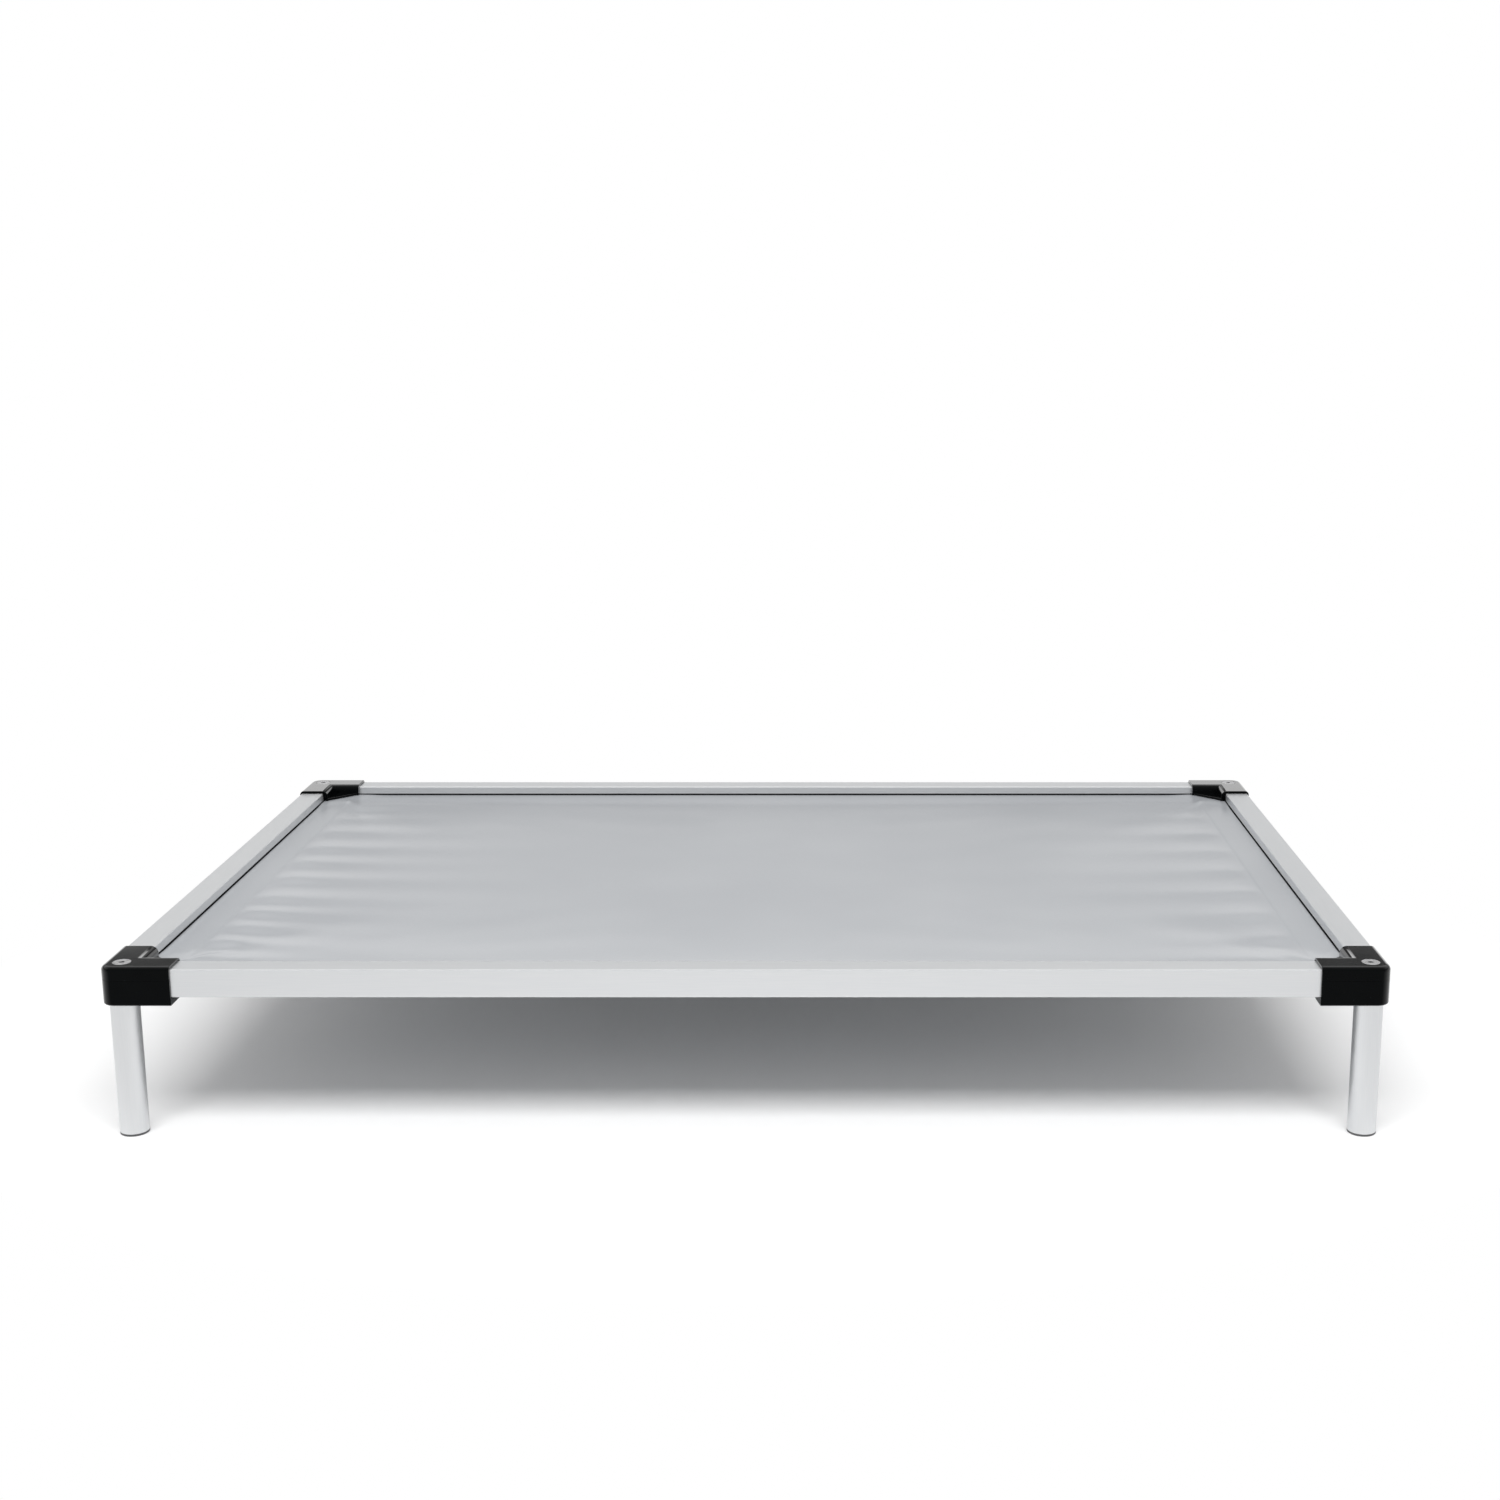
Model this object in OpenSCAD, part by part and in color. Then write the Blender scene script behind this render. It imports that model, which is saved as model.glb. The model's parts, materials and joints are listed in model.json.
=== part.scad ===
// Raised dog bed: four square aluminium rails join in black two-part corner blocks that
// stand on round legs. A coated fabric deck hangs inside the rails from a bead in each one.
// Origin: on the floor, under the middle of the bed. +X runs along the bed, +Y to its rear.

/* [Frame] */
// Length over the outer faces of the end rails
frame_l = 1124; // [600:1:1500]
// Width over the outer faces of the side rails
frame_w = 716; // [400:1:1000]
// Height of the rails' top face above the floor
rail_top = 156; // [90:0.5:400]

/* [Rails] */
// Side of the square rail
rail_size = 25.4; // [22:0.1:40]
// Thickness of the rail's walls
rail_wall = 1.8; // [1.2:0.1:2.5]
// Radius of the rail's four long edges
rail_edge_r = 1.2; // [0.4:0.1:2]
// Depth of the bead slot's middle below the rail's top face
slot_drop = 9.8; // [8:0.1:12]
// Height of the bead slot's mouth in the rail's inner face
slot_w = 3; // [2:0.1:4]
// Bore of the round channel that holds the bead
channel_d = 6.4; // [5:0.1:7]
// Metal between the channel's bore and the rail's inner face
channel_lip = 2.2; // [1.8:0.1:3]
// Wall of the channel inside the rail
channel_wall = 1.5; // [1:0.1:2]

/* [Corner blocks] */
// Thickness of the block outside the rails
block_out = 2.2; // [1.5:0.1:5]
// Thickness of the block inside the rails
block_in = 5.2; // [4:0.1:9]
// Thickness of the cap above the rails
cap_wall = 2.8; // [2:0.1:6]
// Thickness of the base below the rails
base_wall = 7.5; // [5:0.1:12]
// Length of rail that each arm of the block holds
grip_l = 28; // [15:0.5:60]
// Radius of the block's upright outer corner
block_corner_r = 12; // [6:0.5:14]
// Radius of the block's upper edges on the outside of the bed
outer_edge_r = 4.6; // [1:0.1:5.5]
// Radius of the block's upper edges towards the deck
inner_edge_r = 6.5; // [1:0.1:7]
// Radius of the block's lower edges
low_edge_r = 2; // [0.5:0.1:3]
// Open joint that shows between cap and base
seam_w = 0.4; // [0.1:0.1:1]
// Thickness of each triangular web between the arms
web_t = 2.4; // [1.5:0.1:4]
// Width of fabric that the webs hold at a corner
web_grip = 6; // [3:0.5:10]

/* [Legs] */
// Outside diameter of the leg
leg_d = 25.4; // [20:0.1:32]
// Thickness of the leg's wall
leg_wall = 1.6; // [1:0.1:3]
// Plastic between the leg and the block's outer faces
socket_wall = 3.5; // [2.5:0.1:8]
// Plastic between the leg and the ends of the rails
rail_stop_wall = 5.3; // [3:0.1:10]
// Thickness of the base above the top of the leg
socket_roof = 6; // [3:0.1:8]
// Length of the threaded plug in the top of the leg
plug_l = 25; // [15:1:40]
// Thickness of the foot under the leg
foot_t = 2; // [1.5:0.1:6]
// Length of the foot's stem inside the leg
foot_stem_l = 12; // [6:0.5:25]
// Wall of the foot's hollow stem
foot_stem_wall = 2.5; // [1.5:0.1:5]
// Chamfer round the foot's lower edge
foot_chamfer = 0.6; // [0.2:0.1:1.2]

/* [Bolts] */
// Diameter of the bolt's thread
bolt_d = 8; // [5:0.5:10]
// Diameter of the bolt's countersunk head
bolt_head_d = 15.8; // [13:0.1:20]
// Length of the bolt over its head
bolt_l = 40; // [30:1:50]
// Height of the head's straight rim
bolt_rim_h = 0.5; // [0.3:0.1:1]
// Width of the head's hexagon socket across flats
hex_w = 5; // [3:0.5:6]
// Depth of the hexagon socket
hex_depth = 3; // [2:0.1:3.5]

/* [Deck] */
// Thickness of the coated fabric
fabric_t = 1; // [0.5:0.1:1.5]
// Diameter of the bead, with the hem round it
bead_d = 5.6; // [4.5:0.1:6]
// Distance from each end of a rail to the end of its bead
bead_end = 4; // [1:0.5:15]

/* [Fits] */
// Clearance all round a rail in its corner block
rail_clear = 0.2; // [0.1:0.05:0.5]
// Clearance all round a leg in its socket
leg_clear = 0.2; // [0.1:0.05:0.5]
// Clearance round the plug and the foot's stem in the leg
stem_clear = 0.1; // [0.05:0.05:0.3]
// Clearance round the bolt in its holes
bolt_clear = 0.2; // [0.1:0.05:0.5]
// Clearance of the fabric from the pieces round it
fabric_clear = 0.3; // [0.2:0.05:0.6]

/* [Hidden] */
$fn = 64;
over = 1; // how far a cut runs past the face that it starts from

split_z = rail_top - slot_drop; // level of the slots, the fabric and the joint in the blocks
block_top = rail_top + cap_wall;
block_bottom = rail_top - rail_size - base_wall;
arm_inner = rail_size + block_in; // rails' outer faces to the block's inner faces
leg_inset = socket_wall + leg_d / 2 - block_out; // rails' outer faces to the leg's axis
rail_stop = leg_inset + leg_d / 2 + rail_stop_wall; // rails' outer faces to the end of a rail
arm_l = rail_stop + grip_l; // rails' outer faces to the end of an arm
leg_top = split_z - socket_roof;
leg_bore_d = leg_d - 2 * leg_wall;
channel_x = rail_size - channel_lip - channel_d / 2; // outer face to the channel's axis
bead_reach = rail_stop + bead_end; // rails' outer faces to the end of a bead
fabric_in = channel_x + bead_d / 2 + fabric_clear; // rails' outer faces to the fabric's edge
corner_r_in = block_corner_r - block_out; // outer faces to the axis of the upright corner

aluminium = [0.80, 0.81, 0.82];
black = [0.05, 0.05, 0.055];
steel = [0.72, 0.72, 0.73];
dark_grey = [0.30, 0.30, 0.31];
fabric_grey = [0.68, 0.69, 0.71];

// Rectangle from (x0, y0) to (x1, y1) with round corners: a radius for each upper corner,
// and one for both lower corners
module soft_rect(x0, y0, x1, y1, left_r, right_r, low_r) {
    polygon([
        [x0 + low_r, y0], [x1 - low_r, y0], [x1, y0 + low_r], [x1, y1 - right_r],
        [x1 - right_r, y1], [x0 + left_r, y1], [x0, y1 - left_r], [x0, y0 + low_r]
    ]);
    translate([x0 + left_r, y1 - left_r]) circle(r = left_r);
    translate([x1 - right_r, y1 - right_r]) circle(r = right_r);
    for (x = [x0 + low_r, x1 - low_r]) translate([x, y0 + low_r]) circle(r = low_r);
}

// Extrudes a section along +X: the section's x becomes Y and its y becomes Z
module along_x(length) rotate([90, 0, 90]) linear_extrude(height = length) children();

// Swaps X and Y, so that a front-left piece along X gives its twin along Y
module swap_xy() mirror([1, -1, 0]) children();

// Places what is drawn from the rails' outer faces at each corner of the bed
module front_left() translate([-frame_l / 2, -frame_w / 2, 0]) children();
module front_right() mirror([1, 0, 0]) front_left() children();
module rear_left() mirror([0, 1, 0]) front_left() children();
module rear_right() mirror([1, 0, 0]) rear_left() children();

// Section of a rail: x from its outer face, y down from its top face
module rail_section() {
    difference() {
        union() {
            difference() {
                soft_rect(0, -rail_size, rail_size, 0, rail_edge_r, rail_edge_r, rail_edge_r);
                translate([rail_wall, rail_wall - rail_size]) square(rail_size - 2 * rail_wall);
            }
            translate([channel_x, -slot_drop]) circle(d = channel_d + 2 * channel_wall);
        }
        translate([channel_x, -slot_drop]) circle(d = channel_d);
        translate([channel_x, -slot_drop - slot_w / 2]) square([rail_size, slot_w]);
    }
}

// Rail along X on the near side of a frame that is 2 * half_w across
module rail(span, half_w) {
    length = span - 2 * rail_stop;
    color(aluminium) translate([-length / 2, -half_w, rail_top]) along_x(length) rail_section();
}

module rail_front() rail(frame_l, frame_w / 2);
module rail_rear() mirror([0, 1, 0]) rail_front();
module rail_left() rotate([0, 0, -90]) rail(frame_w, frame_l / 2);
module rail_right() mirror([1, 0, 0]) rail_left();

// Bead that the fabric's hem wraps, in the channel of the near side's rail
module edge_bead(span, half_w) {
    length = span - 2 * bead_reach;
    color(dark_grey) translate([-length / 2, -half_w + channel_x, split_z])
        rotate([0, 90, 0]) cylinder(d = bead_d, h = length);
}

module edge_bead_front() edge_bead(frame_l, frame_w / 2);
module edge_bead_rear() mirror([0, 1, 0]) edge_bead_front();
module edge_bead_left() rotate([0, 0, -90]) edge_bead(frame_w, frame_l / 2);
module edge_bead_right() mirror([1, 0, 0]) edge_bead_left();

// One arm of the block, along X from the axis of the upright corner
module block_arm() {
    translate([corner_r_in, 0, 0]) along_x(arm_l - corner_r_in)
        soft_rect(-block_out, block_bottom, arm_inner, block_top,
            outer_edge_r, inner_edge_r, low_edge_r);
}

// Upright outer corner that both arms run into
module block_post() {
    translate([corner_r_in, corner_r_in, 0]) rotate_extrude()
        intersection() {
            soft_rect(-block_corner_r, block_bottom, block_corner_r, block_top,
                outer_edge_r, outer_edge_r, low_edge_r);
            translate([0, block_bottom]) square([block_corner_r, block_top - block_bottom]);
        }
}

// Whole corner block, before it is split
module block_solid() {
    block_arm();
    swap_xy() block_arm();
    block_post();
}

// Everything between two levels
module level_range(z0, z1) {
    translate([-block_out - over, -block_out - over, z0])
        cube([arm_l + block_out + 2 * over, arm_l + block_out + 2 * over, z1 - z0]);
}

// Room for the two rails that end in the block
module rail_pocket() {
    translate([rail_stop, 0, rail_top]) along_x(grip_l + over)
        soft_rect(-rail_clear, -rail_size - rail_clear, rail_size + rail_clear, rail_clear,
            rail_edge_r, rail_edge_r, rail_edge_r);
}

// Triangular web between the arms
module corner_web(z0) {
    translate([0, 0, z0]) linear_extrude(height = web_t)
        polygon([
            [arm_inner - over, arm_inner - over],
            [arm_l, arm_inner - over],
            [arm_l, arm_inner],
            [arm_inner, arm_l],
            [arm_inner - over, arm_l]
        ]);
}

// Puts a piece on the leg's axis
module on_leg_axis() translate([leg_inset, leg_inset, 0]) children();

// Countersunk head from the top of the cap down, grown by a clearance
module bolt_head(grow) {
    rim_r = bolt_head_d / 2 + grow;
    cone_h = (bolt_head_d - bolt_d) / 2;
    translate([0, 0, block_top - bolt_rim_h]) cylinder(r = rim_r, h = bolt_rim_h);
    translate([0, 0, block_top - bolt_rim_h - cone_h])
        cylinder(r1 = bolt_d / 2 + grow, r2 = rim_r, h = cone_h);
}

module corner_cap() {
    color(black) difference() {
        union() {
            intersection() {
                block_solid();
                level_range(split_z + seam_w / 2, block_top + over);
            }
            corner_web(split_z + fabric_t / 2 + fabric_clear);
        }
        rail_pocket();
        swap_xy() rail_pocket();
        on_leg_axis() {
            bolt_head(bolt_clear);
            translate([0, 0, block_top - bolt_rim_h]) cylinder(r = bolt_head_d / 2 + bolt_clear, h = over);
            translate([0, 0, split_z]) cylinder(r = bolt_d / 2 + bolt_clear, h = block_top - split_z);
        }
    }
}

module corner_base() {
    color(black) difference() {
        union() {
            intersection() {
                block_solid();
                level_range(block_bottom - over, split_z - seam_w / 2);
            }
            corner_web(split_z - fabric_t / 2 - fabric_clear - web_t);
        }
        rail_pocket();
        swap_xy() rail_pocket();
        on_leg_axis() {
            translate([0, 0, block_bottom - over])
                cylinder(d = leg_d + 2 * leg_clear, h = leg_top - block_bottom + over);
            translate([0, 0, leg_top - over])
                cylinder(r = bolt_d / 2 + bolt_clear, h = socket_roof + 2 * over);
        }
    }
}

module corner_bolt() {
    color(steel) on_leg_axis() difference() {
        union() {
            bolt_head(0);
            translate([0, 0, block_top - bolt_l]) cylinder(d = bolt_d, h = bolt_l - bolt_rim_h);
        }
        translate([0, 0, block_top - hex_depth])
            cylinder(d = hex_w / cos(30), h = hex_depth + over, $fn = 6);
    }
}

module leg() {
    color(aluminium) on_leg_axis() difference() {
        translate([0, 0, foot_t]) cylinder(d = leg_d, h = leg_top - foot_t);
        translate([0, 0, foot_t - over]) cylinder(d = leg_bore_d, h = leg_top - foot_t + 2 * over);
    }
}

module leg_plug() {
    color(steel) on_leg_axis() translate([0, 0, leg_top - plug_l]) difference() {
        cylinder(d = leg_bore_d - 2 * stem_clear, h = plug_l);
        translate([0, 0, -over]) cylinder(d = bolt_d + 2 * stem_clear, h = plug_l + 2 * over);
    }
}

module foot() {
    stem_r = leg_bore_d / 2 - stem_clear;
    color(dark_grey) on_leg_axis() difference() {
        union() {
            cylinder(r1 = leg_d / 2 - foot_chamfer, r2 = leg_d / 2, h = foot_chamfer);
            translate([0, 0, foot_chamfer]) cylinder(d = leg_d, h = foot_t - foot_chamfer);
            cylinder(r = stem_r, h = foot_t + foot_stem_l);
        }
        translate([0, 0, foot_t]) cylinder(r = stem_r - foot_stem_wall, h = foot_stem_l + over);
    }
}

// Deck, cut back at each corner so that it clears the arms and ends between the webs
module deck_fabric() {
    x = frame_l / 2;
    y = frame_w / 2;
    past_arm = arm_l + fabric_clear;
    by_arm = arm_inner + fabric_clear;
    clip = arm_l + arm_inner - web_grip * sqrt(2) - by_arm;
    corner = [
        [fabric_in, past_arm], [by_arm, past_arm], [by_arm, clip],
        [clip, by_arm], [past_arm, by_arm], [past_arm, fabric_in]
    ];
    last = len(corner) - 1;
    color(fabric_grey) translate([0, 0, split_z - fabric_t / 2]) linear_extrude(height = fabric_t)
        polygon([
            for (p = corner) [p[0] - x, p[1] - y],
            for (i = [last:-1:0]) [x - corner[i][0], corner[i][1] - y],
            for (p = corner) [x - p[0], y - p[1]],
            for (i = [last:-1:0]) [corner[i][0] - x, y - corner[i][1]]
        ]);
}

rail_front();
rail_rear();
rail_left();
rail_right();
front_left() corner_cap();  // corner_cap_front_left
front_right() corner_cap();  // corner_cap_front_right
rear_left() corner_cap();  // corner_cap_rear_left
rear_right() corner_cap();  // corner_cap_rear_right
front_left() corner_base();  // corner_base_front_left
front_right() corner_base();  // corner_base_front_right
rear_left() corner_base();  // corner_base_rear_left
rear_right() corner_base();  // corner_base_rear_right
front_left() corner_bolt();  // corner_bolt_front_left
front_right() corner_bolt();  // corner_bolt_front_right
rear_left() corner_bolt();  // corner_bolt_rear_left
rear_right() corner_bolt();  // corner_bolt_rear_right
front_left() leg();  // leg_front_left
front_right() leg();  // leg_front_right
rear_left() leg();  // leg_rear_left
rear_right() leg();  // leg_rear_right
front_left() leg_plug();  // leg_plug_front_left
front_right() leg_plug();  // leg_plug_front_right
rear_left() leg_plug();  // leg_plug_rear_left
rear_right() leg_plug();  // leg_plug_rear_right
front_left() foot();  // foot_front_left
front_right() foot();  // foot_front_right
rear_left() foot();  // foot_rear_left
rear_right() foot();  // foot_rear_right
edge_bead_front();
edge_bead_rear();
edge_bead_left();
edge_bead_right();
deck_fabric();
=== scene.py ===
import json
import random
import bpy
from math import radians, exp, cos, pi, hypot, atan2
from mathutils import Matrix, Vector

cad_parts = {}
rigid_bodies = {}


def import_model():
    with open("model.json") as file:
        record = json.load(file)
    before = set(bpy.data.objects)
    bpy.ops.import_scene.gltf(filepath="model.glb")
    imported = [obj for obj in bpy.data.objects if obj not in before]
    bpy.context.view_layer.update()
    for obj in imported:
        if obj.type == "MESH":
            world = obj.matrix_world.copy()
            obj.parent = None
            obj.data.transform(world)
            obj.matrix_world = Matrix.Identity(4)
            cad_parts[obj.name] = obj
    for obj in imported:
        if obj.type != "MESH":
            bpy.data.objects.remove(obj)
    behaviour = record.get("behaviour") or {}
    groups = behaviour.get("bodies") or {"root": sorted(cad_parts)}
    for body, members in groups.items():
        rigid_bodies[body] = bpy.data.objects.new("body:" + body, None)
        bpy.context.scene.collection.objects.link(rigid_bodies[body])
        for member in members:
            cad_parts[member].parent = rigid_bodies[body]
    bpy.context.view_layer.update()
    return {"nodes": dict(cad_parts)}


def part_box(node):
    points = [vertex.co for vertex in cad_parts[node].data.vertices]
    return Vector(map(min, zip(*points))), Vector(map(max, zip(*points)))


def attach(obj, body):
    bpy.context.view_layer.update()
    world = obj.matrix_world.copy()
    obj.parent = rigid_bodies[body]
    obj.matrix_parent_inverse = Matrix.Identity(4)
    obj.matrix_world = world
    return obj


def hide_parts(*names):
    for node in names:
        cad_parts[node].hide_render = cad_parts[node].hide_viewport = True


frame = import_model()
print("frame loaded")

corners = ("front_left", "front_right", "rear_left", "rear_right")
sides = ("front", "rear", "left", "right")


# small helpers for modelling
def deselectAll():
    for item in bpy.context.view_layer.objects:
        item.select_set(False)


def focus(piece):
    deselectAll()
    piece.select_set(True)
    bpy.context.view_layer.objects.active = piece


def settle():
    bpy.ops.object.transform_apply(location=True, rotation=True, scale=True)


def addBox(name, low, high):
    deselectAll()
    middle = [(a + b) / 2 for a, b in zip(low, high)]
    size = [b - a for a, b in zip(low, high)]
    bpy.ops.mesh.primitive_cube_add(size=1, location=middle, scale=size)
    piece = bpy.context.object
    piece.name = name
    piece.data.name = name
    settle()
    return piece


def addRound(name, centre, radius, zLow, zHigh, around=96):
    deselectAll()
    bpy.ops.mesh.primitive_cylinder_add(vertices=around, radius=radius, depth=zHigh - zLow,
                                        location=(centre.x, centre.y, (zLow + zHigh) / 2))
    piece = bpy.context.object
    piece.name = name
    piece.data.name = name
    settle()
    return piece


def clearPick(piece, mode):
    bpy.context.tool_settings.mesh_select_mode = (mode == 0, mode == 1, mode == 2)
    for part in (piece.data.vertices, piece.data.edges, piece.data.polygons):
        part.foreach_set("select", [False] * len(part))


def pickFaces(piece, test):
    focus(piece)
    clearPick(piece, 2)
    for face in piece.data.polygons:
        face.select = test(face.center, face.normal)
    bpy.ops.object.mode_set(mode="EDIT")


def pickEdges(piece, test):
    focus(piece)
    clearPick(piece, 1)
    points = piece.data.vertices
    for edge in piece.data.edges:
        a, b = (points[i].co for i in edge.vertices)
        if test(a, b):
            edge.select = True
            for i in edge.vertices:
                points[i].select = True
    bpy.ops.object.mode_set(mode="EDIT")


def pickAll(piece):
    focus(piece)
    bpy.ops.object.mode_set(mode="EDIT")
    bpy.ops.mesh.select_all(action="SELECT")


def done():
    bpy.ops.object.mode_set(mode="OBJECT")


def near(a, b):
    return abs(a - b) < 0.00002


def extrude(offset):
    bpy.ops.mesh.extrude_region_move(TRANSFORM_OT_translate={"value": offset})


def roundOff(radius, steps):
    bpy.ops.mesh.bevel(offset=radius, segments=steps, affect="EDGES", clamp_overlap=False)
    done()


def combine(piece, tool, operation):
    focus(piece)
    cut = piece.modifiers.new("cut", "BOOLEAN")
    cut.operation = operation
    cut.solver = "EXACT"
    cut.object = tool
    bpy.ops.object.modifier_apply(modifier=cut.name)
    bpy.data.objects.remove(tool, do_unlink=True)


def outwards(piece):
    pickAll(piece)
    bpy.ops.mesh.normals_make_consistent(inside=False)
    done()


def smooth(piece, angle=32):
    focus(piece)
    bpy.ops.object.shade_smooth_by_angle(angle=radians(angle))
    even = piece.modifiers.new("even", "WEIGHTED_NORMAL")
    even.keep_sharp = True
    even.weight = 90
    bpy.ops.object.modifier_apply(modifier=even.name)


def copyOf(piece, name):
    focus(piece)
    bpy.ops.object.duplicate()
    twin = bpy.context.object
    twin.name = name
    twin.data.name = name
    return twin


def fitOut(piece, node, material):
    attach(piece, "root")
    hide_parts(node)
    piece.data.materials.clear()
    piece.data.materials.append(material)


# helpers for materials
def addNode(tree, kind, place=(0, 0), **values):
    node = tree.nodes.new("ShaderNode" + kind)
    node.location = place
    for key, value in values.items():
        setattr(node, key, value)
    return node


def join(tree, start, end):
    tree.links.new(start, end)


def mathNode(tree, operation, first, second=None, third=None, clamp=False):
    node = addNode(tree, "Math", operation=operation, use_clamp=clamp)
    for socket, value in zip(node.inputs, (first, second, third)):
        if value is None:
            continue
        if isinstance(value, (int, float)):
            socket.default_value = value
        else:
            join(tree, value, socket)
    return node.outputs[0]


def mixColours(tree, factor, first, second):
    node = addNode(tree, "Mix", data_type="RGBA")
    join(tree, factor, node.inputs[0])
    for socket, value in ((node.inputs[6], first), (node.inputs[7], second)):
        if isinstance(value, tuple):
            socket.default_value = (*value, 1)
        else:
            join(tree, value, socket)
    return node.outputs[2]


def newGroup(name, inputs, outputs):
    group = bpy.data.node_groups.new(name, "ShaderNodeTree")
    for socketName, kind, value in inputs:
        socket = group.interface.new_socket(name=socketName, in_out="INPUT", socket_type=kind)
        if value is not None:
            socket.default_value = value
    for socketName, kind in outputs:
        group.interface.new_socket(name=socketName, in_out="OUTPUT", socket_type=kind)
    return group, group.nodes.new("NodeGroupInput"), group.nodes.new("NodeGroupOutput")


def placeGroup(tree, group, vector, values):
    node = addNode(tree, "Group", node_tree=group)
    join(tree, vector, node.inputs["Vector"])
    for key, value in values.items():
        node.inputs[key].default_value = value
    return node


# node groups that several finishes share
number = "NodeSocketFloat"


def makeSurfaceGrain():
    tree, start, end = newGroup(
        "surfaceGrain",
        [("Vector", "NodeSocketVector", None),
         ("Grain Scale", number, 400.0), ("Patch Scale", number, 7.0),
         ("Grain Tone", number, 0.3), ("Patch Tone", number, 0.6),
         ("Roughness", number, 0.4), ("Roughness Spread", number, 0.1)],
        [("Tone", number), ("Roughness", number), ("Height", number)])
    grain = addNode(tree, "TexNoise", (-400, 200))
    grain.inputs["Detail"].default_value = 3
    patch = addNode(tree, "TexNoise", (-400, -200))
    patch.inputs["Detail"].default_value = 2
    for node, scale in ((grain, "Grain Scale"), (patch, "Patch Scale")):
        join(tree, start.outputs["Vector"], node.inputs["Vector"])
        join(tree, start.outputs[scale], node.inputs["Scale"])
    fine = mathNode(tree, "SUBTRACT", grain.outputs[0], 0.5)
    wide = mathNode(tree, "SUBTRACT", patch.outputs[0], 0.5)
    tone = mathNode(tree, "MULTIPLY_ADD", fine, start.outputs["Grain Tone"], 0.5)
    tone = mathNode(tree, "MULTIPLY_ADD", wide, start.outputs["Patch Tone"], tone, clamp=True)
    both = mathNode(tree, "ADD", fine, wide)
    rough = mathNode(tree, "MULTIPLY_ADD", both, start.outputs["Roughness Spread"],
                     start.outputs["Roughness"], clamp=True)
    join(tree, tone, end.inputs["Tone"])
    join(tree, rough, end.inputs["Roughness"])
    join(tree, grain.outputs[0], end.inputs["Height"])
    return tree


dustShape = {
    "hazeScale": 30,
    "hazeAmount": 0.35,
    "speckGain": 6.0,          # sharpness of a speck's edge
    "speckLevel": -3.7,        # lower is fewer specks
}


def makeSettledDust():
    tree, start, end = newGroup(
        "settledDust",
        [("Vector", "NodeSocketVector", None), ("Speck Scale", number, 900.0), ("Amount", number, 0.1)],
        [("Mask", number)])
    specks = addNode(tree, "TexNoise", (-400, 200))
    specks.inputs["Detail"].default_value = 2
    haze = addNode(tree, "TexNoise", (-400, -100))
    haze.inputs["Scale"].default_value = dustShape["hazeScale"]
    join(tree, start.outputs["Vector"], specks.inputs["Vector"])
    join(tree, start.outputs["Speck Scale"], specks.inputs["Scale"])
    join(tree, start.outputs["Vector"], haze.inputs["Vector"])
    facing = addNode(tree, "NewGeometry", (-600, -300))
    axes = addNode(tree, "SeparateXYZ", (-400, -300))
    join(tree, facing.outputs["Normal"], axes.inputs[0])
    upward = mathNode(tree, "MULTIPLY", axes.outputs[2], 1.0, clamp=True)
    spots = mathNode(tree, "MULTIPLY_ADD", specks.outputs[0], dustShape["speckGain"],
                     dustShape["speckLevel"], clamp=True)
    film = mathNode(tree, "MULTIPLY", haze.outputs[0], dustShape["hazeAmount"])
    cover = mathNode(tree, "ADD", spots, film)
    cover = mathNode(tree, "MULTIPLY", cover, upward)
    cover = mathNode(tree, "MULTIPLY", cover, start.outputs["Amount"], clamp=True)
    join(tree, cover, end.inputs["Mask"])
    return tree


slotSharpness = 2500.0         # how fast the shade starts, for each metre
slotLevelSharpness = 5000.0


def makeSlotShade():
    tree, start, end = newGroup(
        "slotShade",
        [("Vector", "NodeSocketVector", None), ("Across", "NodeSocketVector", None),
         ("Inner Face", number, 0.33),
         ("Depth", number, 0.02), ("Level", number, 0.146), ("Half Height", number, 0.0034)],
        [("Mask", number)])
    part = addNode(tree, "VectorMath", operation="DOT_PRODUCT")
    join(tree, start.outputs["Vector"], part.inputs[0])
    join(tree, start.outputs["Across"], part.inputs[1])
    away = mathNode(tree, "ABSOLUTE", part.outputs["Value"])
    past = mathNode(tree, "SUBTRACT", away, start.outputs["Inner Face"])
    isPast = mathNode(tree, "MULTIPLY", past, slotSharpness, clamp=True)
    rest = mathNode(tree, "SUBTRACT", start.outputs["Depth"], past)
    isInside = mathNode(tree, "MULTIPLY", rest, slotSharpness, clamp=True)
    axes = addNode(tree, "SeparateXYZ")
    join(tree, start.outputs["Vector"], axes.inputs[0])
    height = mathNode(tree, "SUBTRACT", axes.outputs[2], start.outputs["Level"])
    height = mathNode(tree, "ABSOLUTE", height)
    height = mathNode(tree, "SUBTRACT", start.outputs["Half Height"], height)
    isLevel = mathNode(tree, "MULTIPLY", height, slotLevelSharpness, clamp=True)
    mask = mathNode(tree, "MULTIPLY", isPast, isInside)
    mask = mathNode(tree, "MULTIPLY", mask, isLevel)
    join(tree, mask, end.inputs["Mask"])
    return tree


surfaceGrain = makeSurfaceGrain()
slotShade = makeSlotShade()
settledDust = makeSettledDust()


def objectPlace(tree):
    return [node for node in tree.nodes if node.type == "TEX_COORD"][0].outputs["Object"]


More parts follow.
